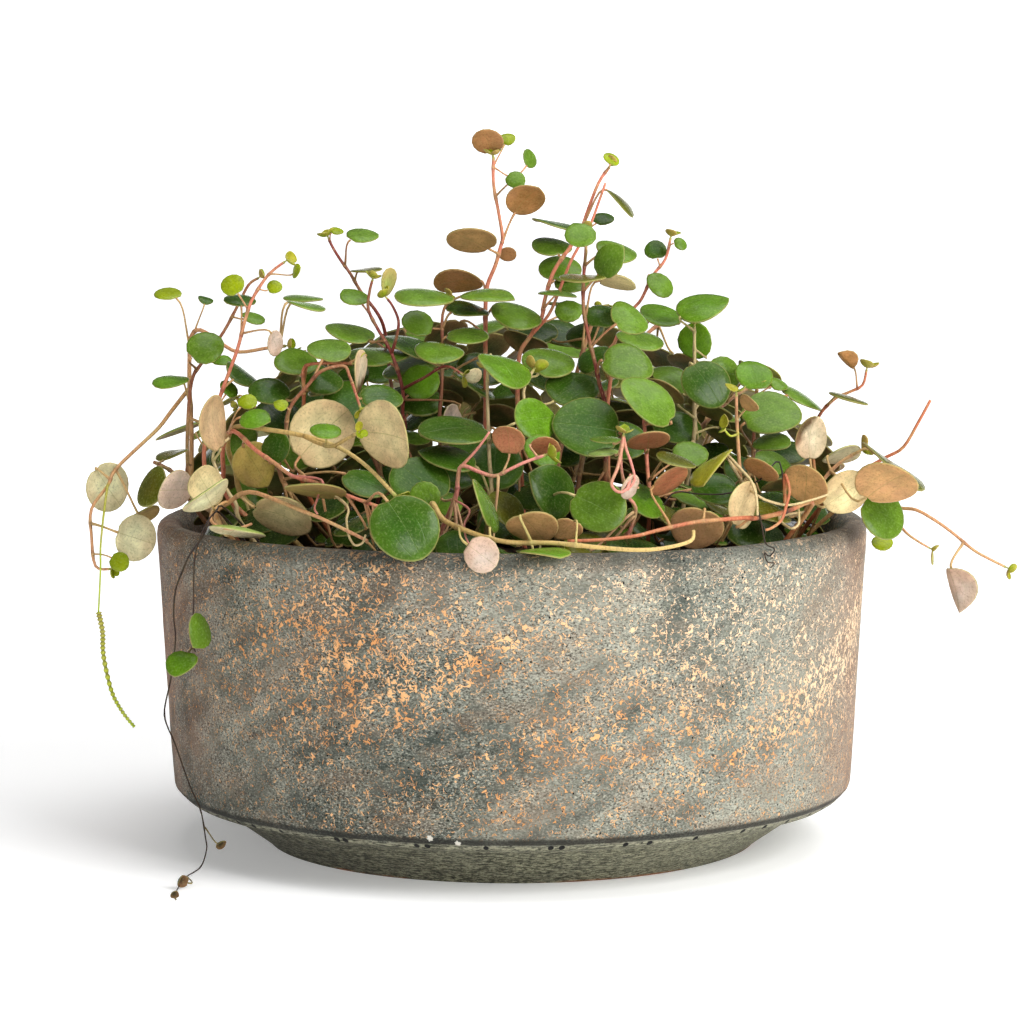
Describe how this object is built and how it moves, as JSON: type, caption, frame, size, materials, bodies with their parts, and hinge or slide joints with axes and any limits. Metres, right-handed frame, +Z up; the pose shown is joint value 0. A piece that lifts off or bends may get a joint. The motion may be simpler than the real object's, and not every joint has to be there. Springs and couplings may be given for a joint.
{
  "type": "potted trailing peperomia",
  "caption": "Small round-leaved trailing peperomia filling and spilling over a wide, low round pot with a narrower foot.",
  "frame": {"origin": "middle of the flat underside of the pot's foot, where it rests", "axes": "+Z up along the pot's axis, -Y towards the side shown in the picture, +X to the right there"},
  "size_m": [0.2898, 0.2701, 0.2299],
  "materials": {
    "pot": "rough unglazed fired clay, grey-green with copper-orange flecks",
    "soil": "matt, crumbly potting soil",
    "peperomia": "fleshy leaf, soft satin",
    "dead_stem": "dry, dull"
  },
  "bodies": {
    "root": {"pot": "pot", "runner_dead": "dead_stem", "runner_front_red": "peperomia", "runner_front_yellow": "peperomia", "runner_over_rim": "peperomia", "soil": "soil", "stem_centre_left": "peperomia", "stem_centre_pink": "peperomia", "stem_centre_right": "peperomia", "stem_curled_pink": "peperomia", "stem_front_brown": "peperomia", "stem_front_coral": "peperomia", "stem_front_orange": "peperomia", "stem_front_tan": "peperomia", "stem_front_thick": "peperomia", "stem_grown_0": "peperomia", "stem_grown_1": "peperomia", "stem_grown_11": "peperomia", "stem_grown_14": "peperomia", "stem_grown_16": "peperomia", "stem_grown_17": "peperomia", "stem_grown_19": "peperomia", "stem_grown_21": "peperomia", "stem_grown_22": "peperomia", "stem_grown_24": "peperomia", "stem_grown_3": "peperomia", "stem_grown_4": "peperomia", "stem_grown_6": "peperomia", "stem_grown_8": "peperomia", "stem_grown_9": "peperomia", "stem_high_left": "peperomia", "stem_left_arching": "peperomia", "stem_left_beige": "peperomia", "stem_left_brown": "peperomia", "stem_left_low": "peperomia", "stem_left_trailing": "peperomia", "stem_middle_dark": "peperomia", "stem_middle_red": "peperomia", "stem_right_front": "peperomia", "stem_right_high": "peperomia", "stem_right_leafy": "peperomia", "stem_right_low": "peperomia", "stem_right_orange": "peperomia", "stem_right_sprig": "peperomia", "stem_right_tan": "peperomia", "stem_right_trailing": "peperomia", "stem_tall_maroon": "peperomia", "stem_tall_middle": "peperomia", "stem_tall_right": "peperomia", "stem_tallest": "peperomia"}
  },
  "joints": []
}
